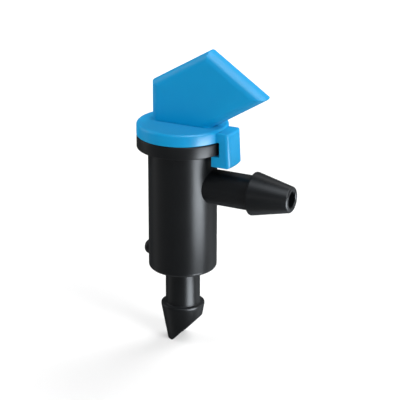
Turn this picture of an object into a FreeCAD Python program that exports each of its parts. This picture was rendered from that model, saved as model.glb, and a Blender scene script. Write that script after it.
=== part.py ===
import FreeCAD, Part
import math
import os

# Take-apart drip emitter. A black barrel is plugged into a supply tube by its lower barb and feeds
# a small tube from its side barb. A blue cap closes the barrel: its core carries the flow labyrinth,
# its flag is the finger grip, and its hook holds on to the barrel's flange.
#
# Frame, in millimetres: the origin is on the barrel's axis, in the plane of the inlet barb's
# shoulder. +Z runs up the barrel to the flag and +X runs along the outlet.

# ---- inlet: a self-piercing barb, pushed through the wall of the supply tube ----
INLET_SHANK_DIAMETER = 4.45
INLET_SHANK_LENGTH = 4.95
INLET_BARB_DIAMETER = 5.62
INLET_BARB_LAND = 0.3
INLET_BARB_LENGTH = 5.0
INLET_BARB_TAPER = 10.4
PIERCING_ANGLE = 47.0
PIERCING_TIP_FLAT = 1.35
PIERCING_TIP_ROUNDING = 0.6
INLET_BORE_DIAMETER = 2.2

# ---- barrel and its flange ----
BARREL_DIAMETER = 8.75
BARREL_LENGTH = 16.25
BARREL_BORE_DIAMETER = 6.4
BARREL_FLOOR = 1.6
BARREL_FOOT_ROUNDING = 0.5
FLANGE_DIAMETER = 11.6
FLANGE_THICKNESS = 1.6
FLANGE_CHAMFER = 0.15
MOUTH_CHAMFER = 0.3

# ---- gate lug, low on the barrel, opposite the outlet ----
LUG_DIAMETER = 1.9
LUG_REACH = 0.95
LUG_HEIGHT = 1.8
LUG_ROUNDING = 0.6

# ---- outlet: a barb for the small tube ----
OUTLET_DROP = 4.72
OUTLET_SHANK_DIAMETER = 4.45
OUTLET_BARB_REACH = 10.0
OUTLET_BARB_DIAMETER = 5.5
OUTLET_BARB_LAND = 0.2
OUTLET_REACH = 15.2
OUTLET_NOSE_DIAMETER = 3.25
OUTLET_BORE_DIAMETER = 2.2
OUTLET_LIP_ROUNDING = 0.3

# ---- cap: disc, flag and hook ----
DISC_DIAMETER = 11.62
DISC_THICKNESS = 1.6
DISC_CHAMFER = 0.15
DISC_TOP_CHAMFER = 0.2
FLAG_THICKNESS = 2.9
FLAG_HEEL_REACH = 3.9
FLAG_HEEL_HEIGHT = 5.07
FLAG_PEAK_REACH = 4.0
FLAG_PEAK_HEIGHT = 9.72
FLAG_TIP_REACH = 11.85
FLAG_TIP_HEIGHT = 4.48
FLAG_TOE_REACH = 4.55
FLAG_ROUNDING = 0.8
HOOK_STEP = 0.3
HOOK_WIDTH = 3.6
HOOK_ARM_THICKNESS = 1.16
HOOK_FLARE = 0.22
HOOK_GRIP = 0.62
HOOK_JAW_THICKNESS = 1.4
HOOK_CORNER_ROUNDING = 0.35
HOOK_EDGE_ROUNDING = 0.45
RELEASE_TURN = 90.0

# ---- cap: core with the flow labyrinth ----
COLLECTOR_MARGIN = 0.4
COLLECTOR_DEPTH = 1.1
CHANNEL_PITCH = 1.8
CHANNEL_WIDTH = 1.05
CHANNEL_DEPTH = 0.9
CHANNEL_DRAFT = 0.12
BAFFLES_PER_TURN = 10
BAFFLE_THICKNESS = 0.35
BAFFLE_REACH = 0.62
CORE_CHAMFER = 0.4

# ---- clearances between the cap and the body ----
CORE_CLEARANCE = 0.04
SEAT_CLEARANCE = 0.05
ARM_CLEARANCE = 0.4
JAW_CLEARANCE = 0.1
NOTCH_CLEARANCE = 0.2
CHAMBER_HEIGHT = 0.7

# ---- levels and radii that follow from them ----
UNDERSIDE_Z = INLET_SHANK_LENGTH
FLOOR_Z = UNDERSIDE_Z + BARREL_FLOOR
FLANGE_Z = UNDERSIDE_Z + BARREL_LENGTH
MOUTH_Z = FLANGE_Z + FLANGE_THICKNESS
OUTLET_Z = FLANGE_Z - OUTLET_DROP
SEAT_Z = MOUTH_Z + SEAT_CLEARANCE
DISC_TOP_Z = SEAT_Z + DISC_THICKNESS
HOOK_TOP_Z = DISC_TOP_Z - HOOK_STEP
JAW_TOP_Z = FLANGE_Z - JAW_CLEARANCE
JAW_BOTTOM_Z = JAW_TOP_Z - HOOK_JAW_THICKNESS
CORE_END_Z = FLOOR_Z + CHAMBER_HEIGHT

BORE_RADIUS = BARREL_BORE_DIAMETER / 2
FLANGE_RADIUS = FLANGE_DIAMETER / 2
DISC_RADIUS = DISC_DIAMETER / 2
ARM_INNER_RADIUS = FLANGE_RADIUS + ARM_CLEARANCE
ARM_OUTER_RADIUS = ARM_INNER_RADIUS + HOOK_ARM_THICKNESS
JAW_RADIUS = FLANGE_RADIUS - HOOK_GRIP
CORE_RADIUS = BORE_RADIUS - CORE_CLEARANCE
CHANNEL_ROOT_RADIUS = CORE_RADIUS - CHANNEL_DEPTH
COLLECTOR_ROOT_RADIUS = CORE_RADIUS - COLLECTOR_DEPTH
BARB_END_RADIUS = INLET_BARB_DIAMETER / 2 - (
    INLET_BARB_LENGTH - INLET_BARB_LAND
) * math.tan(math.radians(INLET_BARB_TAPER))
COLLECTOR_HALF_HEIGHT = OUTLET_BORE_DIAMETER / 2 + COLLECTOR_MARGIN
COLLECTOR_FLOOR_Z = OUTLET_Z - COLLECTOR_HALF_HEIGHT
CHANNEL_START_Z = CORE_END_Z - CHANNEL_WIDTH
CHANNEL_END_Z = COLLECTOR_FLOOR_Z + CHANNEL_WIDTH

Y_AXIS = FreeCAD.Vector(0, 1, 0)
Z_AXIS = FreeCAD.Vector(0, 0, 1)
ORIGIN = FreeCAD.Vector(0, 0, 0)

# how far a cutting tool runs past the face that it cuts through
OVERRUN = 1.0


def outline(corners):
    """A flat face in the XZ plane from corners given as (x, z) or (x, z, rounding)."""
    points = [FreeCAD.Vector(corner[0], 0, corner[1]) for corner in corners]
    roundings = [corner[2] if len(corner) > 2 else 0.0 for corner in corners]
    count = len(points)
    starts = []
    ends = []
    for i in range(count):
        back = (points[i - 1] - points[i]).normalize()
        ahead = (points[(i + 1) % count] - points[i]).normalize()
        half_angle = back.getAngle(ahead) / 2
        run = roundings[i] / math.tan(half_angle)
        starts.append(points[i] + back * run)
        ends.append(points[i] + ahead * run)
    edges = []
    for i in range(count):
        if roundings[i] > 0:
            middle = (starts[i] + ends[i]) / 2
            away = (points[i] - middle).normalize()
            half_chord = (ends[i] - starts[i]).Length / 2
            sagitta = roundings[i] - math.sqrt(roundings[i] ** 2 - half_chord ** 2)
            edges.append(Part.Arc(starts[i], middle + away * sagitta, ends[i]).toShape())
        following = starts[(i + 1) % count]
        if (following - ends[i]).Length > 1e-7:
            edges.append(Part.makeLine(ends[i], following))
    return Part.Face(Part.Wire(edges))


def turned(corners):
    """A solid of revolution about Z from an outline of (radius, z) corners."""
    return outline(corners).revolve(ORIGIN, Z_AXIS, 360)


def over_outlet(shape, width):
    """The stretch of a shape turned about Z that lies over the outlet, between two upright planes."""
    box = shape.BoundBox
    corner = FreeCAD.Vector(0, -width / 2, box.ZMin - OVERRUN)
    return shape.common(Part.makeBox(box.XMax + OVERRUN, width, box.ZLength + 2 * OVERRUN, corner))


def pointed_along_x(shape, sign, height):
    """Lay a solid that was turned about Z along +X (sign 1) or -X (sign -1) at a height."""
    laid = shape.copy()
    laid.rotate(ORIGIN, Y_AXIS, 90 * sign)
    laid.translate(FreeCAD.Vector(0, 0, height))
    return laid


# ---------------------------------------------------------------- emitter body

def barrel_with_inlet():
    barb_radius = INLET_BARB_DIAMETER / 2
    shank_radius = INLET_SHANK_DIAMETER / 2
    barrel_radius = BARREL_DIAMETER / 2
    return turned([
        (0, -INLET_BARB_LENGTH),
        (BARB_END_RADIUS, -INLET_BARB_LENGTH),
        (barb_radius, -INLET_BARB_LAND),
        (barb_radius, 0),
        (shank_radius, 0),
        (shank_radius, UNDERSIDE_Z),
        (barrel_radius, UNDERSIDE_Z, BARREL_FOOT_ROUNDING),
        (barrel_radius, FLANGE_Z),
        (FLANGE_RADIUS - FLANGE_CHAMFER, FLANGE_Z),
        (FLANGE_RADIUS, FLANGE_Z + FLANGE_CHAMFER),
        (FLANGE_RADIUS, MOUTH_Z - FLANGE_CHAMFER),
        (FLANGE_RADIUS - FLANGE_CHAMFER, MOUTH_Z),
        (0, MOUTH_Z),
    ])


def outlet_spigot():
    barb_radius = OUTLET_BARB_DIAMETER / 2
    shank_radius = OUTLET_SHANK_DIAMETER / 2
    spigot = turned([
        (0, 0),
        (shank_radius, 0),
        (shank_radius, OUTLET_BARB_REACH),
        (barb_radius, OUTLET_BARB_REACH),
        (barb_radius, OUTLET_BARB_REACH + OUTLET_BARB_LAND),
        (OUTLET_NOSE_DIAMETER / 2, OUTLET_REACH, OUTLET_LIP_ROUNDING),
        (0, OUTLET_REACH),
    ])
    return pointed_along_x(spigot, 1, OUTLET_Z)


def gate_lug():
    lug_end = BARREL_DIAMETER / 2 + LUG_REACH
    lug = turned([
        (0, 0),
        (LUG_DIAMETER / 2, 0),
        (LUG_DIAMETER / 2, lug_end, LUG_ROUNDING),
        (0, lug_end),
    ])
    return pointed_along_x(lug, -1, UNDERSIDE_Z + LUG_HEIGHT)


def water_way():
    """The barrel's bore and the inlet bore below it, as one turned tool."""
    inlet_radius = INLET_BORE_DIAMETER / 2
    return turned([
        (0, -INLET_BARB_LENGTH - OVERRUN),
        (inlet_radius, -INLET_BARB_LENGTH - OVERRUN),
        (inlet_radius, FLOOR_Z),
        (BORE_RADIUS, FLOOR_Z),
        (BORE_RADIUS, MOUTH_Z - MOUTH_CHAMFER),
        (BORE_RADIUS + MOUTH_CHAMFER, MOUTH_Z),
        (BORE_RADIUS + MOUTH_CHAMFER, MOUTH_Z + OVERRUN),
        (0, MOUTH_Z + OVERRUN),
    ])


def outlet_bore():
    """The outlet's bore, with its mouth rolled over to meet the rounded lip."""
    bore_radius = OUTLET_BORE_DIAMETER / 2
    bore = turned([
        (0, 0),
        (bore_radius, 0),
        (bore_radius, OUTLET_REACH - OUTLET_LIP_ROUNDING),
        (bore_radius + OUTLET_LIP_ROUNDING, OUTLET_REACH),
        (bore_radius + OUTLET_LIP_ROUNDING, OUTLET_REACH + OVERRUN),
        (0, OUTLET_REACH + OVERRUN),
    ])
    return pointed_along_x(bore, 1, OUTLET_Z)


def piercing_cut():
    """Everything below the slanted face that leaves a blunt tip on the barb's -X side."""
    tip_x = PIERCING_TIP_FLAT - BARB_END_RADIUS
    far_x = BARB_END_RADIUS + INLET_BARB_DIAMETER
    rise = (far_x - tip_x) * math.tan(math.radians(PIERCING_ANGLE))
    waste = outline([
        (-far_x, -INLET_BARB_LENGTH),
        (tip_x, -INLET_BARB_LENGTH, PIERCING_TIP_ROUNDING),
        (far_x, rise - INLET_BARB_LENGTH),
        (far_x, -INLET_BARB_LENGTH - OVERRUN),
        (-far_x, -INLET_BARB_LENGTH - OVERRUN),
    ])
    waste.translate(FreeCAD.Vector(0, -INLET_BARB_DIAMETER, 0))
    return waste.extrude(FreeCAD.Vector(0, 2 * INLET_BARB_DIAMETER, 0))


def release_notch():
    """The gap in the flange, a quarter turn from the outlet, through which the hook lifts off."""
    inner_radius = JAW_RADIUS - NOTCH_CLEARANCE
    outer_radius = FLANGE_RADIUS + OVERRUN
    ring = turned([
        (inner_radius, FLANGE_Z - OVERRUN),
        (outer_radius, FLANGE_Z - OVERRUN),
        (outer_radius, MOUTH_Z + OVERRUN),
        (inner_radius, MOUTH_Z + OVERRUN),
    ])
    notch = over_outlet(ring, HOOK_WIDTH + 2 * NOTCH_CLEARANCE)
    notch.rotate(ORIGIN, Z_AXIS, RELEASE_TURN)
    return notch


def emitter_body():
    body = barrel_with_inlet().fuse([outlet_spigot(), gate_lug()])
    tools = [water_way(), outlet_bore(), piercing_cut(), release_notch()]
    return body.cut(tools).removeSplitter()


# -------------------------------------------------------------------- flag cap

def cap_disc():
    return turned([
        (0, SEAT_Z),
        (DISC_RADIUS - DISC_CHAMFER, SEAT_Z),
        (DISC_RADIUS, SEAT_Z + DISC_CHAMFER),
        (DISC_RADIUS, DISC_TOP_Z - DISC_TOP_CHAMFER),
        (DISC_RADIUS - DISC_TOP_CHAMFER, DISC_TOP_Z),
        (0, DISC_TOP_Z),
    ])


def flag():
    """The finger grip: an arrow-shaped plate over the outlet, its rims rounded on both faces."""
    base_z = SEAT_Z + DISC_THICKNESS / 2
    plate = outline([
        (-FLAG_HEEL_REACH, base_z),
        (-FLAG_HEEL_REACH, DISC_TOP_Z + FLAG_HEEL_HEIGHT),
        (FLAG_PEAK_REACH, DISC_TOP_Z + FLAG_PEAK_HEIGHT),
        (FLAG_TIP_REACH, DISC_TOP_Z + FLAG_TIP_HEIGHT),
        (FLAG_TOE_REACH, DISC_TOP_Z),
        (FLAG_TOE_REACH, base_z),
    ])
    plate.translate(FreeCAD.Vector(0, -FLAG_THICKNESS / 2, 0))
    solid = plate.extrude(FreeCAD.Vector(0, FLAG_THICKNESS, 0))
    rims = []
    for edge in solid.Edges:
        box = edge.BoundBox
        along_face = box.YLength < 1e-6
        above_disc = box.ZMax > DISC_TOP_Z + 1e-6
        if along_face and above_disc:
            rims.append(edge)
    return solid.makeFillet(FLAG_ROUNDING, rims)


def hook():
    """A C-shaped claw, concentric with the disc, that reaches round the flange over the outlet."""
    root_radius = DISC_RADIUS - HOOK_GRIP
    claw = turned([
        (root_radius, SEAT_Z),
        (ARM_INNER_RADIUS, SEAT_Z),
        (ARM_INNER_RADIUS, JAW_TOP_Z),
        (JAW_RADIUS, JAW_TOP_Z),
        (JAW_RADIUS, JAW_BOTTOM_Z),
        (ARM_OUTER_RADIUS + HOOK_FLARE, JAW_BOTTOM_Z, HOOK_CORNER_ROUNDING),
        (ARM_OUTER_RADIUS, HOOK_TOP_Z, HOOK_CORNER_ROUNDING),
        (root_radius, HOOK_TOP_Z),
    ])
    return claw.common(hook_envelope())


def hook_envelope():
    """The block that the claw is cut to: as wide as the hook, with its two outer edges rounded."""
    spread = HOOK_FLARE / (HOOK_TOP_Z - JAW_BOTTOM_Z) * OVERRUN
    cone = turned([
        (0, JAW_BOTTOM_Z - OVERRUN),
        (ARM_OUTER_RADIUS + HOOK_FLARE + spread, JAW_BOTTOM_Z - OVERRUN),
        (ARM_OUTER_RADIUS - spread, HOOK_TOP_Z + OVERRUN),
        (0, HOOK_TOP_Z + OVERRUN),
    ])
    block = over_outlet(cone, HOOK_WIDTH)
    height = block.BoundBox.ZLength
    upright = [edge for edge in block.Edges if edge.BoundBox.ZLength > height / 2]
    outer = [edge for edge in upright if edge.BoundBox.XMin > ARM_INNER_RADIUS]
    return block.makeFillet(HOOK_EDGE_ROUNDING, outer)


def helical_channel():
    """The groove round the core, swept up a helix from the inlet chamber to the collector."""
    rise = CHANNEL_END_Z - CHANNEL_START_Z
    helix = Part.makeHelix(CHANNEL_PITCH, rise, CHANNEL_ROOT_RADIUS)
    root_half = CHANNEL_WIDTH / 2 - CHANNEL_DRAFT
    rim_half = CHANNEL_WIDTH / 2 + CHANNEL_DRAFT
    rim_radius = CHANNEL_ROOT_RADIUS + 2 * CHANNEL_DEPTH
    section = Part.makePolygon([
        FreeCAD.Vector(CHANNEL_ROOT_RADIUS, 0, -root_half),
        FreeCAD.Vector(rim_radius, 0, -rim_half),
        FreeCAD.Vector(rim_radius, 0, rim_half),
        FreeCAD.Vector(CHANNEL_ROOT_RADIUS, 0, root_half),
        FreeCAD.Vector(CHANNEL_ROOT_RADIUS, 0, -root_half),
    ])
    channel = Part.Wire(helix.Edges).makePipeShell([section], True, True)
    channel.translate(FreeCAD.Vector(0, 0, CHANNEL_START_Z))
    # the sweep may come out with its faces turned inwards
    return channel if channel.Volume > 0 else channel.reversed()


def baffles():
    """Wedges that stand in the groove by turns from its lower and its upper wall."""
    step = CHANNEL_PITCH / BAFFLES_PER_TURN
    first = math.ceil((CORE_END_Z + CHANNEL_WIDTH - CHANNEL_START_Z) / step)
    last = math.floor((COLLECTOR_FLOOR_Z - CHANNEL_WIDTH - CHANNEL_START_Z) / step)
    wedges = []
    for i in range(first, last + 1):
        side = 1 if i % 2 else -1
        root = side * CHANNEL_WIDTH
        tip = side * (CHANNEL_WIDTH / 2 - BAFFLE_REACH)
        wedge = Part.Face(Part.makePolygon([
            FreeCAD.Vector(CHANNEL_ROOT_RADIUS / 2, -BAFFLE_THICKNESS, root),
            FreeCAD.Vector(CHANNEL_ROOT_RADIUS / 2, -BAFFLE_THICKNESS / 2, tip),
            FreeCAD.Vector(CHANNEL_ROOT_RADIUS / 2, BAFFLE_THICKNESS / 2, tip),
            FreeCAD.Vector(CHANNEL_ROOT_RADIUS / 2, BAFFLE_THICKNESS, root),
            FreeCAD.Vector(CHANNEL_ROOT_RADIUS / 2, -BAFFLE_THICKNESS, root),
        ])).extrude(FreeCAD.Vector(2 * CORE_RADIUS, 0, 0))
        wedge.rotate(ORIGIN, Z_AXIS, i * 360.0 / BAFFLES_PER_TURN)
        wedge.translate(FreeCAD.Vector(0, 0, CHANNEL_START_Z + i * step))
        wedges.append(wedge)
    return wedges


def labyrinth_core():
    """The plug below the disc: sealing land, collector groove at the outlet, then the labyrinth."""
    blank = turned([
        (0, CORE_END_Z),
        (CORE_RADIUS - CORE_CHAMFER, CORE_END_Z),
        (CORE_RADIUS, CORE_END_Z + CORE_CHAMFER),
        (CORE_RADIUS, COLLECTOR_FLOOR_Z),
        (COLLECTOR_ROOT_RADIUS, COLLECTOR_FLOOR_Z),
        (COLLECTOR_ROOT_RADIUS, OUTLET_Z + COLLECTOR_HALF_HEIGHT),
        (CORE_RADIUS, OUTLET_Z + COLLECTOR_HALF_HEIGHT),
        (CORE_RADIUS, SEAT_Z),
        (0, SEAT_Z),
    ])
    groove = helical_channel().cut(baffles())
    return blank.cut(groove)


def flag_cap():
    cap = cap_disc().fuse([flag(), hook(), labyrinth_core()])
    return cap.removeSplitter()


# ---------------------------------------------------------------------- output

os.makedirs("parts", exist_ok=True)
nodes = {
    "emitter_body": emitter_body(),
    "flag_cap": flag_cap(),
}
for name, shape in nodes.items():
    shape.exportStep("parts/" + name + ".step")
    print(name, "solids", len(shape.Solids), "valid", shape.isValid(), "volume", round(shape.Volume, 2))
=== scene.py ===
import math

import bmesh
import bpy
from mathutils import Matrix, Vector


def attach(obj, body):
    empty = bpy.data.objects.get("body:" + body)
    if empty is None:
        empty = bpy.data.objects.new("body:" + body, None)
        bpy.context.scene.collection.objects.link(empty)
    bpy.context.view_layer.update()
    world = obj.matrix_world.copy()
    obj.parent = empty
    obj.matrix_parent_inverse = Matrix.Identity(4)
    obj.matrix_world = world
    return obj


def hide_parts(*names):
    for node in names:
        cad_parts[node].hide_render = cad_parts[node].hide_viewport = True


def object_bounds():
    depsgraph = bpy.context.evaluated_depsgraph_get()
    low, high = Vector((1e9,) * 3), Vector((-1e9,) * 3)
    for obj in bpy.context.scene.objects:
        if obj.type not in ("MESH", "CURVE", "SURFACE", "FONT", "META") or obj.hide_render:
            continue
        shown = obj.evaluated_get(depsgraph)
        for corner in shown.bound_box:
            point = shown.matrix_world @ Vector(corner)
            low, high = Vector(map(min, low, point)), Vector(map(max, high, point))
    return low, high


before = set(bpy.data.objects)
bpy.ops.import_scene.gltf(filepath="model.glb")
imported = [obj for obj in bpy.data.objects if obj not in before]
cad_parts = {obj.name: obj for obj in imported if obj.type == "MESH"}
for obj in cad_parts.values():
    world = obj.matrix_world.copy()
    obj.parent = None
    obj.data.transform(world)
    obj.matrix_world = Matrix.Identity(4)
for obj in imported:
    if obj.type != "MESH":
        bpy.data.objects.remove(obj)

cad_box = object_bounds()

# A take-apart drip emitter, moulded in two colours of polypropylene. Both mouldings are made again
# here with finer curves and softened rims than the frame's solids have. Sizes are in millimetres in
# the frame's own axes: Z up the barrel, X along the outlet. MM turns them to metres.
MM = 0.001

# ---- how finely round forms are cut, how soft the moulded rims are, and the shading over them ----
# ROUND_STEPS cut a full turn, ARC_STEP an outline's rounded corner, RIM_STEPS the rim of a plate and
# SLICES the width of a concentric plate.
ROUND_STEPS = 160
ARC_STEP = math.radians(15)
RIM_STEPS = 8
SLICES = 24
EDGE_SOFTNESS = 0.12
LEAST_ROUNDING = EDGE_SOFTNESS / 4
CREASE_ANGLE = math.radians(32)
FLAT_FACE_WEIGHT = 100

# ---- black body: inlet ----
INLET_TIP_Z = -5.0
INLET_SHANK_LENGTH = 4.95
INLET_SHANK_RADIUS = 2.225
INLET_BARB_RADIUS = 2.81
INLET_BARB_END_RADIUS = 1.947
INLET_BARB_LAND = 0.3
INLET_BORE_RADIUS = 1.1
PIERCING_ANGLE = 47.0
PIERCING_TIP_FLAT = 1.35
PIERCING_TIP_ROUNDING = 0.6

# ---- black body: barrel, flange and gate lug ----
BARREL_RADIUS = 4.375
BARREL_LENGTH = 16.25
BARREL_BORE_RADIUS = 3.2
BARREL_FLOOR = 1.6
FOOT_ROUNDING = 0.5
FLANGE_RADIUS = 5.8
FLANGE_THICKNESS = 1.6
MOUTH_CHAMFER = 0.3
LUG_RADIUS = 0.95
LUG_REACH = 0.95
LUG_HEIGHT = 1.8
LUG_ROUNDING = 0.6

# ---- black body: outlet ----
OUTLET_DROP = 4.72
OUTLET_SHANK_RADIUS = 2.225
OUTLET_BARB_REACH = 10.0
OUTLET_BARB_RADIUS = 2.75
OUTLET_BARB_LAND = 0.2
OUTLET_BARB_SOFTNESS = EDGE_SOFTNESS / 2
OUTLET_REACH = 15.2
OUTLET_NOSE_RADIUS = 1.625
OUTLET_BORE_RADIUS = 1.1
OUTLET_LIP_ROUNDING = 0.3
BORE_MOUTH_ROUNDING = 0.12

# ---- blue cap: disc and flag ----
DISC_RADIUS = 5.81
DISC_THICKNESS = 1.6
DISC_ROUNDING = 0.35
FLAG_THICKNESS = 2.9
FLAG_RIM = 1.15
FLAG_HEEL_REACH = 3.9
FLAG_HEEL_HEIGHT = 5.07
FLAG_HEEL_ROUNDING = 0.25
FLAG_PEAK_REACH = 4.0
FLAG_PEAK_HEIGHT = 9.72
FLAG_PEAK_ROUNDING = 0.3
FLAG_TIP_REACH = 11.85
FLAG_TIP_HEIGHT = 4.48
FLAG_TIP_ROUNDING = 0.2
FLAG_TOE_REACH = 4.55

# ---- blue cap: hook ----
HOOK_WIDTH = 3.6
HOOK_STEP = 0.3
HOOK_ARM_THICKNESS = 1.16
HOOK_FLARE = 0.22
HOOK_GRIP = 0.62
HOOK_JAW_THICKNESS = 1.4
HOOK_EDGE_ROUNDING = 0.45
HOOK_CORNER_ROUNDING = 0.35

# ---- blue cap: core with the labyrinth ----
CORE_CHAMFER = 0.4
COLLECTOR_MARGIN = 0.4
COLLECTOR_DEPTH = 1.1
CHANNEL_PITCH = 1.8
CHANNEL_WIDTH = 1.05
CHANNEL_DEPTH = 0.9
CHANNEL_DRAFT = 0.12
BAFFLES_PER_TURN = 10
BAFFLE_THICKNESS = 0.35
BAFFLE_REACH = 0.62

# ---- clearances between the cap and the body ----
CORE_CLEARANCE = 0.04
SEAT_CLEARANCE = 0.05
ARM_CLEARANCE = 0.4
JAW_CLEARANCE = 0.1
NOTCH_CLEARANCE = 0.2
CHAMBER_HEIGHT = 0.7

# ---- levels and radii that follow from them ----
UNDERSIDE_Z = INLET_SHANK_LENGTH
FLOOR_Z = UNDERSIDE_Z + BARREL_FLOOR
FLANGE_Z = UNDERSIDE_Z + BARREL_LENGTH
MOUTH_Z = FLANGE_Z + FLANGE_THICKNESS
OUTLET_Z = FLANGE_Z - OUTLET_DROP
LUG_Z = UNDERSIDE_Z + LUG_HEIGHT
LUG_END = BARREL_RADIUS + LUG_REACH
SEAT_Z = MOUTH_Z + SEAT_CLEARANCE
DISC_TOP_Z = SEAT_Z + DISC_THICKNESS
HOOK_TOP_Z = DISC_TOP_Z - HOOK_STEP
HOOK_ROOT_RADIUS = DISC_RADIUS - HOOK_GRIP
HOOK_INNER_RADIUS = FLANGE_RADIUS + ARM_CLEARANCE
HOOK_OUTER_RADIUS = HOOK_INNER_RADIUS + HOOK_ARM_THICKNESS
JAW_RADIUS = FLANGE_RADIUS - HOOK_GRIP
JAW_TOP_Z = FLANGE_Z - JAW_CLEARANCE
JAW_BOTTOM_Z = JAW_TOP_Z - HOOK_JAW_THICKNESS
NOTCH_WIDTH = HOOK_WIDTH + 2 * NOTCH_CLEARANCE
NOTCH_RADIUS = JAW_RADIUS - NOTCH_CLEARANCE
CORE_RADIUS = BARREL_BORE_RADIUS - CORE_CLEARANCE
CORE_END_Z = FLOOR_Z + CHAMBER_HEIGHT
COLLECTOR_ROOT_RADIUS = CORE_RADIUS - COLLECTOR_DEPTH
COLLECTOR_LOW_Z = OUTLET_Z - OUTLET_BORE_RADIUS - COLLECTOR_MARGIN
COLLECTOR_HIGH_Z = OUTLET_Z + OUTLET_BORE_RADIUS + COLLECTOR_MARGIN

# how far a cutting tool runs past the face that it cuts through, and how far a joined piece goes in
OVERRUN = 1.0
SINK = 0.1

# points of a finished moulding that lie closer than this are one
WELD = 0.001


# ------------------------------------------------------------------ outlines and solids

def outline(corners, inset=0.0):
    """Points round a closed outline, moved inwards by inset. A corner is (a, b) or (a, b, rounding)."""
    points = [Vector(corner[:2]) for corner in corners]
    roundings = [corner[2] if len(corner) > 2 else 0.0 for corner in corners]
    count = len(points)
    area = sum(points[i - 1].cross(points[i]) for i in range(count))
    turn = 1.0 if area > 0 else -1.0
    found = []
    for i in range(count):
        before = (points[i] - points[i - 1]).normalized()
        after = (points[(i + 1) % count] - points[i]).normalized()
        inward_before = Vector((-before.y, before.x)) * turn
        inward_after = Vector((-after.y, after.x)) * turn
        corner = points[i] + (inward_before + inward_after) * inset / (1 + inward_before.dot(inward_after))
        bend = math.atan2(before.cross(after), before.dot(after))
        if roundings[i] == 0:
            found.append(corner)
            continue
        convex = bend * turn > 0
        radius = max(roundings[i] - inset, LEAST_ROUNDING) if convex else roundings[i] + inset
        run = radius * math.tan(abs(bend) / 2)
        side = inward_before if convex else -inward_before
        start = corner - before * run
        centre = start + side * radius
        steps = max(2, math.ceil(abs(bend) / ARC_STEP))
        for step in range(steps + 1):
            found.append(centre + Matrix.Rotation(bend * step / steps, 2) @ (start - centre))
    return found


def new_object(name, bm, place=Matrix.Identity(4)):
    """An object at the origin from a bmesh in millimetres, with its faces turned outwards."""
    bm.transform(Matrix.Scale(MM, 4) @ place)
    bmesh.ops.recalc_face_normals(bm, faces=bm.faces)
    mesh = bpy.data.meshes.new(name)
    bm.to_mesh(mesh)
    bm.free()
    made = bpy.data.objects.new(name, mesh)
    bpy.context.collection.objects.link(made)
    return made


def join_rings(bm, rings):
    """Quads between neighbouring rings of vertices; a ring of one vertex is a pole."""
    for lower, upper in zip(rings, rings[1:]):
        count = max(len(lower), len(upper))
        for here in range(count):
            after = (here + 1) % count
            corners = [lower[here % len(lower)], lower[after % len(lower)],
                       upper[after % len(upper)], upper[here % len(upper)]]
            bm.faces.new(list(dict.fromkeys(corners)))


def turned(name, corners, place=Matrix.Identity(4)):
    """A solid of revolution about Z from (radius, z) corners that start and end on the axis."""
    bm = bmesh.new()
    rings = []
    for radius, z in outline(corners):
        steps = ROUND_STEPS if radius > 0 else 1
        angles = [2 * math.pi * step / ROUND_STEPS for step in range(steps)]
        rings.append([bm.verts.new((radius * math.cos(angle), radius * math.sin(angle), z))
                      for angle in angles])
    join_rings(bm, rings)
    return new_object(name, bm, place)


def plate(name, corners, thickness, rim, concentric=False):
    """A plate across Y from (x, z) corners, with both faces' rims rounded by rim.

    In a concentric plate x is the distance from the Z axis, so its faces follow the barrel round.
    """
    bm = bmesh.new()
    rings = []
    steps = range(RIM_STEPS + 1) if rim > 0 else [RIM_STEPS]
    profile = []
    for step in steps:
        angle = math.pi / 2 * step / RIM_STEPS
        profile.append((rim * (1 - math.sin(angle)), thickness / 2 - rim * (1 - math.cos(angle))))
    flat = thickness / 2 - rim
    slices = [flat * (2 * step / SLICES - 1) for step in range(1, SLICES)] if concentric else []
    sections = [(inset, -y) for inset, y in profile] + [(0, y) for y in slices]
    sections += [(inset, y) for inset, y in reversed(profile)]
    for inset, y in sections:
        ring = []
        for point in outline(corners, inset):
            x = math.sqrt(point.x ** 2 - y ** 2) if concentric else point.x
            ring.append(bm.verts.new((x, y, point.y)))
        rings.append(ring)
    join_rings(bm, rings)
    bm.faces.new(rings[0])
    bm.faces.new(rings[-1])
    return new_object(name, bm)


def along_x(sign, z):
    """Lays a solid that was turned about Z along +X or -X at a height."""
    return Matrix.Translation((0, 0, z)) @ Matrix.Rotation(math.radians(90 * sign), 4, "Y")


def baked(piece):
    """Replaces a piece's mesh by what its modifiers make of it, and removes them."""
    graph = bpy.context.evaluated_depsgraph_get()
    mesh = bpy.data.meshes.new_from_object(piece.evaluated_get(graph))
    piece.modifiers.clear()
    piece.data = mesh


def combine(piece, others, operation):
    """Joins other solids to a piece, cuts them from it or keeps what they share, and removes them."""
    for other in others:
        step = piece.modifiers.new(operation, "BOOLEAN")
        step.operation = operation
        step.solver = "EXACT"
        step.object = other
    baked(piece)
    for other in others:
        bpy.data.objects.remove(other)
    return piece


def weld(piece):
    """Merges the double points that cutting leaves along its seams, so that the mesh is closed."""
    bm = bmesh.new()
    bm.from_mesh(piece.data)
    bmesh.ops.remove_doubles(bm, verts=bm.verts, dist=WELD * MM)
    bmesh.ops.dissolve_degenerate(bm, dist=WELD * MM, edges=bm.edges)
    bm.to_mesh(piece.data)
    bm.free()


# ------------------------------------------------------------------ node trees

def add(tree, kind, links=None, **settings):
    """Adds a node with its settings. links gives each named input a value or another node's output."""
    made = tree.nodes.new(kind)
    for name, value in settings.items():
        setattr(made, name, value)
    for name, value in (links or {}).items():
        if isinstance(value, bpy.types.NodeSocket):
            tree.links.new(value, made.inputs[name])
        else:
            made.inputs[name].default_value = value
    return made


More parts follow.
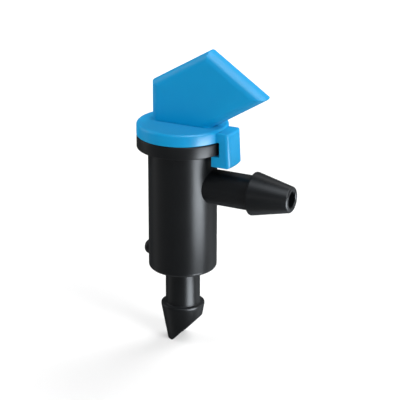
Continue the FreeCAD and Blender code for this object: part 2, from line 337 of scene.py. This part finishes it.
def geometry_tree(name, sizes):
    """An empty Geometry Nodes tree with inputs for geometry, named sizes and a material."""
    tree = bpy.data.node_groups.new(name, "GeometryNodeTree")
    tree.interface.new_socket("Geometry", in_out="INPUT", socket_type="NodeSocketGeometry")
    for size, kind in sizes.items():
        tree.interface.new_socket(size, in_out="INPUT", socket_type=kind)
    tree.interface.new_socket("Material", in_out="INPUT", socket_type="NodeSocketMaterial")
    tree.interface.new_socket("Geometry", in_out="OUTPUT", socket_type="NodeSocketGeometry")
    return tree, add(tree, "NodeGroupInput").outputs


def close_tree(tree, shape, material):
    """Ends a tree: the shape's instances become real, and it gets its material."""
    real = add(tree, "GeometryNodeRealizeInstances", {"Geometry": shape})
    dressed = add(tree, "GeometryNodeSetMaterial", {
        "Geometry": real.outputs["Geometry"], "Material": material})
    add(tree, "NodeGroupOutput", {"Geometry": dressed.outputs["Geometry"]})


def run_tree(piece, tree, values):
    """Runs a Geometry Nodes tree on a piece with named input values and keeps the plain mesh."""
    step = piece.modifiers.new(tree.name, "NODES")
    step.node_group = tree
    for item in tree.interface.items_tree:
        if item.name in values:
            step[item.identifier] = values[item.name]
    baked(piece)
    return piece


def channel_tree():
    """A tapered channel swept up a right-hand helix."""
    number = "NodeSocketFloat"
    tree, given = geometry_tree("helical channel", {
        "Root Radius": number, "Turns": number, "Rise": number, "Start Height": number,
        "Root Width": number, "Rim Width": number, "Depth": number})
    spiral = add(tree, "GeometryNodeCurveSpiral", {
        "Resolution": ROUND_STEPS, "Rotations": given["Turns"], "Start Radius": given["Root Radius"],
        "End Radius": given["Root Radius"], "Height": given["Rise"], "Reverse": True})
    upright = add(tree, "GeometryNodeSetCurveNormal", {"Curve": spiral.outputs["Curve"]}, mode="Z_UP")
    section = add(tree, "GeometryNodeCurvePrimitiveQuadrilateral", {
        "Height": given["Depth"], "Bottom Width": given["Rim Width"], "Top Width": given["Root Width"],
        "Offset": 0.0}, mode="TRAPEZOID")
    half_depth = add(tree, "ShaderNodeMath", {0: given["Depth"], 1: 0.5}, operation="MULTIPLY")
    outwards = add(tree, "ShaderNodeCombineXYZ", {"X": half_depth.outputs[0]})
    laid = add(tree, "GeometryNodeTransform", {
        "Geometry": section.outputs["Curve"], "Translation": outwards.outputs[0],
        "Rotation": (0, 0, math.pi / 2)})
    swept = add(tree, "GeometryNodeCurveToMesh", {
        "Curve": upright.outputs["Curve"], "Profile Curve": laid.outputs["Geometry"], "Fill Caps": True})
    lift = add(tree, "ShaderNodeCombineXYZ", {"Z": given["Start Height"]})
    placed = add(tree, "GeometryNodeTransform", {
        "Geometry": swept.outputs["Mesh"], "Translation": lift.outputs[0]})
    close_tree(tree, placed.outputs["Geometry"], given["Material"])
    return tree


def baffle_tree():
    """Copies of one wedge up the same helix, which stand by turns on the channel's two walls."""
    tree, given = geometry_tree("staggered baffles", {
        "Count": "NodeSocketInt", "First": "NodeSocketInt", "Step Angle": "NodeSocketFloat",
        "Step Height": "NodeSocketFloat", "Start Height": "NodeSocketFloat"})
    points = add(tree, "GeometryNodePoints", {"Count": given["Count"]})
    index = add(tree, "GeometryNodeInputIndex")
    number = add(tree, "ShaderNodeMath", {0: index.outputs[0], 1: given["First"]}, operation="ADD")
    angle = add(tree, "ShaderNodeMath", {0: number.outputs[0], 1: given["Step Angle"]},
                operation="MULTIPLY")
    climb = add(tree, "ShaderNodeMath", {
        0: number.outputs[0], 1: given["Step Height"], 2: given["Start Height"]},
        operation="MULTIPLY_ADD")
    every_other = add(tree, "ShaderNodeMath", {0: number.outputs[0], 1: 2.0}, operation="MODULO")
    flip = add(tree, "ShaderNodeMath", {0: every_other.outputs[0], 1: -math.pi, 2: math.pi},
               operation="MULTIPLY_ADD")
    where = add(tree, "ShaderNodeCombineXYZ", {"Z": climb.outputs[0]})
    way = add(tree, "ShaderNodeCombineXYZ", {"X": flip.outputs[0], "Z": angle.outputs[0]})
    placed = add(tree, "GeometryNodeSetPosition", {
        "Geometry": points.outputs["Points"], "Position": where.outputs[0]})
    copies = add(tree, "GeometryNodeInstanceOnPoints", {
        "Points": placed.outputs["Geometry"], "Instance": given["Geometry"], "Rotation": way.outputs[0]})
    close_tree(tree, copies.outputs["Instances"], given["Material"])
    return tree


# ------------------------------------------------------------------ black body

def body_moulding():
    """The black moulding: an inlet with a piercing tip, the barrel and its flange, a barbed outlet."""
    barrel = turned("body_moulding", [
        (0, INLET_TIP_Z),
        (INLET_BARB_END_RADIUS, INLET_TIP_Z),
        (INLET_BARB_RADIUS, -INLET_BARB_LAND, EDGE_SOFTNESS),
        (INLET_BARB_RADIUS, 0, EDGE_SOFTNESS),
        (INLET_SHANK_RADIUS, 0, EDGE_SOFTNESS),
        (INLET_SHANK_RADIUS, UNDERSIDE_Z, EDGE_SOFTNESS),
        (BARREL_RADIUS, UNDERSIDE_Z, FOOT_ROUNDING),
        (BARREL_RADIUS, FLANGE_Z, EDGE_SOFTNESS),
        (FLANGE_RADIUS, FLANGE_Z, EDGE_SOFTNESS),
        (FLANGE_RADIUS, MOUTH_Z, EDGE_SOFTNESS),
        (0, MOUTH_Z),
    ])
    spigot = turned("spigot", [
        (0, 0),
        (OUTLET_SHANK_RADIUS, 0),
        (OUTLET_SHANK_RADIUS, OUTLET_BARB_REACH, EDGE_SOFTNESS),
        (OUTLET_BARB_RADIUS, OUTLET_BARB_REACH, OUTLET_BARB_SOFTNESS),
        (OUTLET_BARB_RADIUS, OUTLET_BARB_REACH + OUTLET_BARB_LAND, EDGE_SOFTNESS),
        (OUTLET_NOSE_RADIUS, OUTLET_REACH, OUTLET_LIP_ROUNDING),
        (0, OUTLET_REACH),
    ], along_x(1, OUTLET_Z))
    lug = turned("lug", [
        (0, 0),
        (LUG_RADIUS, 0),
        (LUG_RADIUS, LUG_END, LUG_ROUNDING),
        (0, LUG_END),
    ], along_x(-1, LUG_Z))
    combine(barrel, [spigot, lug], "UNION")
    return combine(barrel, [water_way(), outlet_bore(), piercing_waste(), notch()], "DIFFERENCE")


def water_way():
    """The barrel's bore and the inlet bore below it, as one turned tool."""
    return turned("water_way", [
        (0, INLET_TIP_Z - OVERRUN),
        (INLET_BORE_RADIUS, INLET_TIP_Z - OVERRUN),
        (INLET_BORE_RADIUS, FLOOR_Z, EDGE_SOFTNESS),
        (BARREL_BORE_RADIUS, FLOOR_Z, EDGE_SOFTNESS),
        (BARREL_BORE_RADIUS, MOUTH_Z - MOUTH_CHAMFER),
        (BARREL_BORE_RADIUS + MOUTH_CHAMFER, MOUTH_Z),
        (BARREL_BORE_RADIUS + MOUTH_CHAMFER, MOUTH_Z + OVERRUN),
        (0, MOUTH_Z + OVERRUN),
    ])


def outlet_bore():
    """The outlet's bore, whose mouth rolls over on to the lip's end face."""
    mouth_radius = OUTLET_BORE_RADIUS + BORE_MOUTH_ROUNDING
    return turned("outlet_bore", [
        (0, 0),
        (OUTLET_BORE_RADIUS, 0),
        (OUTLET_BORE_RADIUS, OUTLET_REACH - BORE_MOUTH_ROUNDING, BORE_MOUTH_ROUNDING),
        (mouth_radius, OUTLET_REACH),
        (mouth_radius, OUTLET_REACH + OVERRUN),
        (0, OUTLET_REACH + OVERRUN),
    ], along_x(1, OUTLET_Z))


def piercing_waste():
    """Everything below the slanted face that leaves a blunt piercing tip on the -X side."""
    reach = 3 * INLET_BARB_RADIUS
    tip_x = PIERCING_TIP_FLAT - INLET_BARB_END_RADIUS
    rise = (reach - tip_x) * math.tan(math.radians(PIERCING_ANGLE))
    return plate("piercing_waste", [
        (-reach, INLET_TIP_Z),
        (tip_x, INLET_TIP_Z, PIERCING_TIP_ROUNDING),
        (reach, INLET_TIP_Z + rise),
        (reach, INLET_TIP_Z - OVERRUN),
        (-reach, INLET_TIP_Z - OVERRUN),
    ], 2 * reach, 0)


def notch():
    """The gap in the flange, a quarter turn from the outlet, where the hook lifts off."""
    gap = plate("notch", [
        (NOTCH_RADIUS, FLANGE_Z - OVERRUN),
        (FLANGE_RADIUS + OVERRUN, FLANGE_Z - OVERRUN),
        (FLANGE_RADIUS + OVERRUN, MOUTH_Z + OVERRUN),
        (NOTCH_RADIUS, MOUTH_Z + OVERRUN),
    ], NOTCH_WIDTH, 0, concentric=True)
    gap.data.transform(Matrix.Rotation(math.pi / 2, 4, "Z"))
    return gap


# ------------------------------------------------------------------ blue cap

def cap_moulding(material):
    """The blue moulding: a disc with the flag on it, the hook at its edge and the core below it."""
    disc = turned("cap_moulding", [
        (0, SEAT_Z),
        (DISC_RADIUS, SEAT_Z, EDGE_SOFTNESS),
        (DISC_RADIUS, DISC_TOP_Z, DISC_ROUNDING),
        (0, DISC_TOP_Z),
    ])
    inside_disc = (SEAT_Z + DISC_TOP_Z) / 2
    flag = plate("flag", [
        (-FLAG_HEEL_REACH, inside_disc),
        (-FLAG_HEEL_REACH, DISC_TOP_Z + FLAG_HEEL_HEIGHT, FLAG_HEEL_ROUNDING),
        (FLAG_PEAK_REACH, DISC_TOP_Z + FLAG_PEAK_HEIGHT, FLAG_PEAK_ROUNDING),
        (FLAG_TIP_REACH, DISC_TOP_Z + FLAG_TIP_HEIGHT, FLAG_TIP_ROUNDING),
        (FLAG_TOE_REACH, DISC_TOP_Z),
        (FLAG_TOE_REACH, inside_disc),
    ], FLAG_THICKNESS, FLAG_RIM)
    return combine(disc, [flag, hook(), labyrinth_core(material)], "UNION")


def hook():
    """A C-shaped claw, concentric with the disc, that reaches round the flange over the outlet."""
    claw = plate("hook", [
        (HOOK_ROOT_RADIUS - OVERRUN, SEAT_Z + SINK),
        (HOOK_INNER_RADIUS, SEAT_Z + SINK, EDGE_SOFTNESS),
        (HOOK_INNER_RADIUS, JAW_TOP_Z, EDGE_SOFTNESS),
        (JAW_RADIUS, JAW_TOP_Z, EDGE_SOFTNESS),
        (JAW_RADIUS, JAW_BOTTOM_Z, EDGE_SOFTNESS),
        (HOOK_OUTER_RADIUS + HOOK_FLARE, JAW_BOTTOM_Z, HOOK_CORNER_ROUNDING),
        (HOOK_OUTER_RADIUS, HOOK_TOP_Z, HOOK_CORNER_ROUNDING),
        (HOOK_ROOT_RADIUS - OVERRUN, HOOK_TOP_Z),
    ], HOOK_WIDTH, EDGE_SOFTNESS, concentric=True)
    spread = HOOK_FLARE / (HOOK_TOP_Z - JAW_BOTTOM_Z) * OVERRUN
    envelope = plate("hook envelope", [
        (HOOK_ROOT_RADIUS - 2 * OVERRUN, JAW_BOTTOM_Z - OVERRUN),
        (HOOK_OUTER_RADIUS + HOOK_FLARE + spread, JAW_BOTTOM_Z - OVERRUN),
        (HOOK_OUTER_RADIUS - spread, HOOK_TOP_Z + OVERRUN),
        (HOOK_ROOT_RADIUS - 2 * OVERRUN, HOOK_TOP_Z + OVERRUN),
    ], HOOK_WIDTH, HOOK_EDGE_ROUNDING, concentric=True)
    return combine(claw, [envelope], "INTERSECT")


def labyrinth_core(material):
    """The plug below the disc: sealing land, collector groove at the outlet, labyrinth below it."""
    blank = turned("core", [
        (0, CORE_END_Z),
        (CORE_RADIUS - CORE_CHAMFER, CORE_END_Z),
        (CORE_RADIUS, CORE_END_Z + CORE_CHAMFER),
        (CORE_RADIUS, COLLECTOR_LOW_Z),
        (COLLECTOR_ROOT_RADIUS, COLLECTOR_LOW_Z),
        (COLLECTOR_ROOT_RADIUS, COLLECTOR_HIGH_Z),
        (CORE_RADIUS, COLLECTOR_HIGH_Z),
        (CORE_RADIUS, SEAT_Z + EDGE_SOFTNESS),
        (0, SEAT_Z + EDGE_SOFTNESS),
    ])
    root_radius = CORE_RADIUS - CHANNEL_DEPTH
    start_z = CORE_END_Z - CHANNEL_WIDTH
    end_z = COLLECTOR_LOW_Z + CHANNEL_WIDTH
    # The channel's tool is twice as deep as the channel, so that it runs past the core's skin. Halfway
    # up its walls, where the skin is, it is as wide as the channel.
    channel = new_object("channel", bmesh.new())
    run_tree(channel, channel_tree(), {
        "Root Radius": root_radius * MM,
        "Turns": (end_z - start_z) / CHANNEL_PITCH,
        "Rise": (end_z - start_z) * MM,
        "Start Height": start_z * MM,
        "Root Width": (CHANNEL_WIDTH - 2 * CHANNEL_DRAFT) * MM,
        "Rim Width": (CHANNEL_WIDTH + 2 * CHANNEL_DRAFT) * MM,
        "Depth": 2 * CHANNEL_DEPTH * MM,
        "Material": material,
    })
    step = CHANNEL_PITCH / BAFFLES_PER_TURN
    first = math.ceil((CORE_END_Z + CHANNEL_WIDTH - start_z) / step)
    last = math.floor((COLLECTOR_LOW_Z - CHANNEL_WIDTH - start_z) / step)
    baffles = run_tree(wedge(root_radius), baffle_tree(), {
        "Count": last - first + 1,
        "First": first,
        "Step Angle": 2 * math.pi / BAFFLES_PER_TURN,
        "Step Height": step * MM,
        "Start Height": start_z * MM,
        "Material": material,
    })
    combine(channel, [baffles], "DIFFERENCE")
    return combine(blank, [channel], "DIFFERENCE")


def wedge(root_radius):
    """One baffle: a wedge along X that narrows from the channel's upper wall to its tip."""
    bm = bmesh.new()
    root_z = CHANNEL_WIDTH
    tip_z = CHANNEL_WIDTH / 2 - BAFFLE_REACH
    corners = [(-BAFFLE_THICKNESS, root_z), (-BAFFLE_THICKNESS / 2, tip_z),
               (BAFFLE_THICKNESS / 2, tip_z), (BAFFLE_THICKNESS, root_z)]
    rings = []
    for x in (root_radius / 2, root_radius / 2 + 2 * CORE_RADIUS):
        rings.append([bm.verts.new((x, y, z)) for y, z in corners])
    join_rings(bm, rings)
    bm.faces.new(rings[0])
    bm.faces.new(rings[1])
    return new_object("wedge", bm)


# ------------------------------------------------------------------ materials

# polypropylene's index of refraction, how far light goes in it, and the shares of that reach that
# red, green and blue light have
POLYPROPYLENE_IOR = 1.49
SCATTER_REACH = 2.0
SCATTER_BY_COLOUR = (0.3, 0.7, 1.0)

# Flow clouds a few millimetres across stay where the melt cooled unevenly. The skin's tone goes from
# one of a material's two colours to the other with them, and its roughness by up to this much.
CLOUD_SIZE = 4.0
CLOUD_DETAIL = 3.0
CLOUD_GLOSSIER = 0.04
CLOUD_DULLER = 0.06

# The mould's eroded grain is about 0.05 mm across, and is drawn at 0.15 mm so that it shows.
GRAIN_SIZE = 0.15
GRAIN_DETAIL = 2.0
GRAIN_DEPTH = 0.01
GRAIN_STRENGTH = 0.15

# Seen edge-on, that grain hides its own gloss. This is where the skin starts to turn dull and where
# it is fully so, from 0 face on to 1 edge-on, and how much rougher it is there.
DULL_FROM = 0.3
DULL_TO = 0.7
DULLING = 0.6


def linear(colour):
    """An sRGB hex colour as linear RGBA, by the curve of the sRGB standard."""
    found = []
    for start in (1, 3, 5):
        part = int(colour[start:start + 2], 16) / 255
        found.append(part / 12.92 if part <= 0.04045 else ((part + 0.055) / 1.055) ** 2.4)
    return (*found, 1.0)


def moulded_polypropylene(name, light, dark, roughness, specular, translucency):
    """Injection-moulded polypropylene: a satin skin from a fine-eroded mould, with faint flow clouds."""
    material = bpy.data.materials.new(name)
    material.use_nodes = True
    tree = material.node_tree
    tree.nodes.clear()
    place = add(tree, "ShaderNodeTexCoord").outputs["Object"]
    clouds = add(tree, "ShaderNodeTexNoise", {
        "Vector": place, "Scale": 1 / (CLOUD_SIZE * MM), "Detail": CLOUD_DETAIL})
    tone = add(tree, "ShaderNodeMix", {
        "Factor": clouds.outputs["Fac"], "A": linear(dark), "B": linear(light)}, data_type="RGBA")
    grain = add(tree, "ShaderNodeTexNoise", {
        "Vector": place, "Scale": 1 / (GRAIN_SIZE * MM), "Detail": GRAIN_DETAIL})
    sheen = add(tree, "ShaderNodeMapRange", {
        "Value": clouds.outputs["Fac"], "To Min": roughness - CLOUD_GLOSSIER,
        "To Max": roughness + CLOUD_DULLER})
    facing = add(tree, "ShaderNodeLayerWeight")
    dulled = add(tree, "ShaderNodeMapRange", {
        "Value": facing.outputs["Facing"], "From Min": DULL_FROM, "From Max": DULL_TO,
        "To Min": 0.0, "To Max": DULLING}, interpolation_type="SMOOTHSTEP")
    satin = add(tree, "ShaderNodeMath", {0: sheen.outputs["Result"], 1: dulled.outputs["Result"]},
                operation="ADD")
    relief = add(tree, "ShaderNodeBump", {
        "Height": grain.outputs["Fac"], "Strength": GRAIN_STRENGTH, "Distance": GRAIN_DEPTH * MM})
    shader = add(tree, "ShaderNodeBsdfPrincipled", {
        "Base Color": tone.outputs["Result"], "Roughness": satin.outputs[0],
        "Normal": relief.outputs["Normal"], "IOR": POLYPROPYLENE_IOR, "Specular IOR Level": specular,
        "Subsurface Weight": translucency, "Subsurface Scale": SCATTER_REACH * MM,
        "Subsurface Radius": SCATTER_BY_COLOUR})
    add(tree, "ShaderNodeOutputMaterial", {"Surface": shader.outputs["BSDF"]})
    return material


def finish(piece, node, body, material):
    """Shades a piece smoothly up to its creases, and sets it on its body in place of the CAD node."""
    weld(piece)
    piece.data.materials.clear()
    piece.data.materials.append(material)
    for face in piece.data.polygons:
        face.use_smooth = True
        face.material_index = 0
    piece.data.set_sharp_from_angle(angle=CREASE_ANGLE)
    flats = piece.modifiers.new("flats", "WEIGHTED_NORMAL")
    flats.keep_sharp = True
    flats.weight = FLAT_FACE_WEIGHT
    baked(piece)
    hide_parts(node)
    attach(piece, body)


# ------------------------------------------------------------------ floor, light and camera

# The floor glows a little near the object, where the lamps light it too, and fades over to plain
# white further off, where they don't reach.
FLOOR_ALBEDO = 0.6
GLOW_NEAR = 0.3
GLOW_FAR = 1.0
FADE_START = 60
FADE_END = 300
FLOOR_GAP = 0.02
FLOOR_HALF = 1200

# how strongly the white surroundings light matt surfaces; the camera and gloss see them at full white
WORLD_FILL = 0.3

# the height that a lamp faces unless its call says otherwise, and the two tints of light
MIDDLE_Z = 15.0
WHITE_LIGHT = (1.0, 1.0, 1.0)
COOL_LIGHT = (0.88, 0.94, 1.0)

# The camera stands VIEW_DISTANCE from a point that lies off the middle of the disc's top: to the right
# by AIM_RIGHT and down by AIM_DOWN, as the view shows them. FOCAL_SHARE is the focal length in sensor
# widths.
VIEW_AZIMUTH = 27.0
VIEW_ELEVATION = 20.3
VIEW_ROLL = 0.12
VIEW_DISTANCE = 212.5
AIM_RIGHT = 2.175
AIM_DOWN = 9.875
FOCAL_SHARE = 4.25
SENSOR_WIDTH = 36.0
CLIP_NEAR = 10
CLIP_FAR = 10000


def seen_directly(tree):
    """1 for what the camera, gloss and transmission see, and 0 for the light that surfaces get."""
    path = add(tree, "ShaderNodeLightPath").outputs
    some = add(tree, "ShaderNodeMath", {0: path["Is Camera Ray"], 1: path["Is Glossy Ray"]},
               operation="ADD")
    seen = add(tree, "ShaderNodeMath", {0: some.outputs[0], 1: path["Is Transmission Ray"]},
               operation="ADD", use_clamp=True)
    return seen.outputs[0]


def white_paper():
    """Matt white that also glows, a little by the object and up to full white further off."""
    material = bpy.data.materials.new("matt white paper")
    material.use_nodes = True
    tree = material.node_tree
    tree.nodes.clear()
    paper = add(tree, "ShaderNodeBsdfDiffuse", {"Color": (FLOOR_ALBEDO, FLOOR_ALBEDO, FLOOR_ALBEDO, 1)})
    place = add(tree, "ShaderNodeTexCoord").outputs["Object"]
    reach = add(tree, "ShaderNodeVectorMath", {0: place}, operation="LENGTH")
    strength = add(tree, "ShaderNodeMapRange", {
        "Value": reach.outputs["Value"], "From Min": FADE_START * MM, "From Max": FADE_END * MM,
        "To Min": GLOW_NEAR, "To Max": GLOW_FAR}, interpolation_type="SMOOTHSTEP")
    share = add(tree, "ShaderNodeMath", {0: seen_directly(tree), 1: strength.outputs["Result"]},
                operation="MULTIPLY")
    glow = add(tree, "ShaderNodeEmission", {"Strength": share.outputs[0]})
    both = add(tree, "ShaderNodeAddShader", {0: paper.outputs[0], 1: glow.outputs[0]})
    add(tree, "ShaderNodeOutputMaterial", {"Surface": both.outputs[0]})
    return material


def pale_floor():
    """A wide matt sheet just below the tip. It keeps the object's soft shadow on white."""
    bm = bmesh.new()
    bmesh.ops.create_grid(bm, x_segments=1, y_segments=1, size=FLOOR_HALF * MM)
    mesh = bpy.data.meshes.new("floor")
    bm.to_mesh(mesh)
    bm.free()
    floor = bpy.data.objects.new("floor", mesh)
    floor.location.z = cad_box[0].z - FLOOR_GAP * MM
    bpy.context.collection.objects.link(floor)
    mesh.materials.append(white_paper())


def white_world():
    """White to the camera and to gloss; a plain grey fill for everything else."""
    world = bpy.data.worlds.new("studio")
    world.use_nodes = True
    tree = world.node_tree
    tree.nodes.clear()
    strength = add(tree, "ShaderNodeMapRange", {
        "Value": seen_directly(tree), "To Min": WORLD_FILL, "To Max": 1.0})
    sky = add(tree, "ShaderNodeBackground", {"Color": (1, 1, 1, 1), "Strength": strength.outputs["Result"]})
    add(tree, "ShaderNodeOutputWorld", {"Surface": sky.outputs[0]})
    bpy.context.scene.world = world


def towards(azimuth, elevation):
    """The unit vector from the object to a place round it; azimuth 0 is -Y and 90 is +X."""
    around = math.radians(azimuth)
    above = math.radians(elevation)
    level = math.cos(above)
    return Vector((math.sin(around) * level, -math.cos(around) * level, math.sin(above)))


def softbox(name, azimuth, elevation, distance, width, height, power, aim_z=MIDDLE_Z, only_gloss=False):
    """A rectangular lamp that faces the barrel's axis at the height aim_z; power is in watts.

    A lamp for gloss alone doesn't light matt surfaces, and is a little cool.
    """
    lamp = bpy.data.lights.new(name, "AREA")
    lamp.shape = "RECTANGLE"
    lamp.size = width * MM
    lamp.size_y = height * MM
    lamp.energy = power
    lamp.color = COOL_LIGHT if only_gloss else WHITE_LIGHT
    holder = bpy.data.objects.new(name, lamp)
    direction = towards(azimuth, elevation)
    holder.location = (Vector((0, 0, aim_z)) + direction * distance) * MM
    holder.rotation_euler = (-direction).to_track_quat("-Z", "Y").to_euler()
    holder.visible_camera = False
    holder.visible_diffuse = not only_gloss
    bpy.context.collection.objects.link(holder)


def studio_lamps():
    """Big soft lamps all round give the light. The gloss lamps give the streaks on the mouldings."""
    softbox("key", azimuth=70, elevation=28, distance=500, width=250, height=250, power=2.3)
    softbox("front", azimuth=10, elevation=4, distance=700, width=500, height=250, power=0.8)
    softbox("left", azimuth=279, elevation=24, distance=500, width=400, height=400, power=1.7)
    softbox("back", azimuth=160, elevation=44, distance=500, width=340, height=340, power=2.0)
    softbox("over", azimuth=64, elevation=57, distance=500, width=550, height=550, power=13.0,
            only_gloss=True)
    softbox("strip", azimuth=79, elevation=0, distance=32, width=20, height=17.5, power=0.07,
            aim_z=7.25, only_gloss=True)
    softbox("low strip", azimuth=72, elevation=0, distance=11, width=7.2, height=4.2, power=0.0062,
            aim_z=-2.2, only_gloss=True)


def camera():
    """Looks down on the front, a little from the outlet's side, as through a long lens."""
    lens = bpy.data.cameras.new("camera")
    lens.sensor_width = SENSOR_WIDTH
    lens.lens = SENSOR_WIDTH * FOCAL_SHARE
    lens.clip_start = CLIP_NEAR * MM
    lens.clip_end = CLIP_FAR * MM
    back = towards(VIEW_AZIMUTH, VIEW_ELEVATION)
    around = math.radians(VIEW_AZIMUTH)
    level_right = Vector((math.cos(around), math.sin(around), 0))
    level_up = back.cross(level_right)
    roll = math.radians(VIEW_ROLL)
    right = level_right * math.cos(roll) + level_up * math.sin(roll)
    up = level_up * math.cos(roll) - level_right * math.sin(roll)
    holder = bpy.data.objects.new("camera", lens)
    turn = Matrix((right, up, back)).transposed().to_4x4()
    place = Vector((0, 0, DISC_TOP_Z)) + back * VIEW_DISTANCE + right * AIM_RIGHT - up * AIM_DOWN
    holder.matrix_world = Matrix.Translation(place * MM) @ turn
    bpy.context.collection.objects.link(holder)
    bpy.context.scene.camera = holder


# ------------------------------------------------------------------ the scene

# Carbon black lets no light into the body, so that all it gives the eye is a low, soft gloss. The
# cap's blue lets light a little way in, which softens its shades, and its skin shines a little more.
black = moulded_polypropylene(
    "black moulded polypropylene", "#080A0C", "#050709", roughness=0.33, specular=0.08, translucency=0.0)
blue = moulded_polypropylene(
    "blue moulded polypropylene", "#018CC1", "#0184B9", roughness=0.34, specular=0.12, translucency=0.15)
finish(body_moulding(), "emitter_body", "body", black)
finish(cap_moulding(blue), "flag_cap", "cap", blue)

pale_floor()
white_world()
studio_lamps()
camera()
bpy.context.scene.view_settings.view_transform = "Standard"
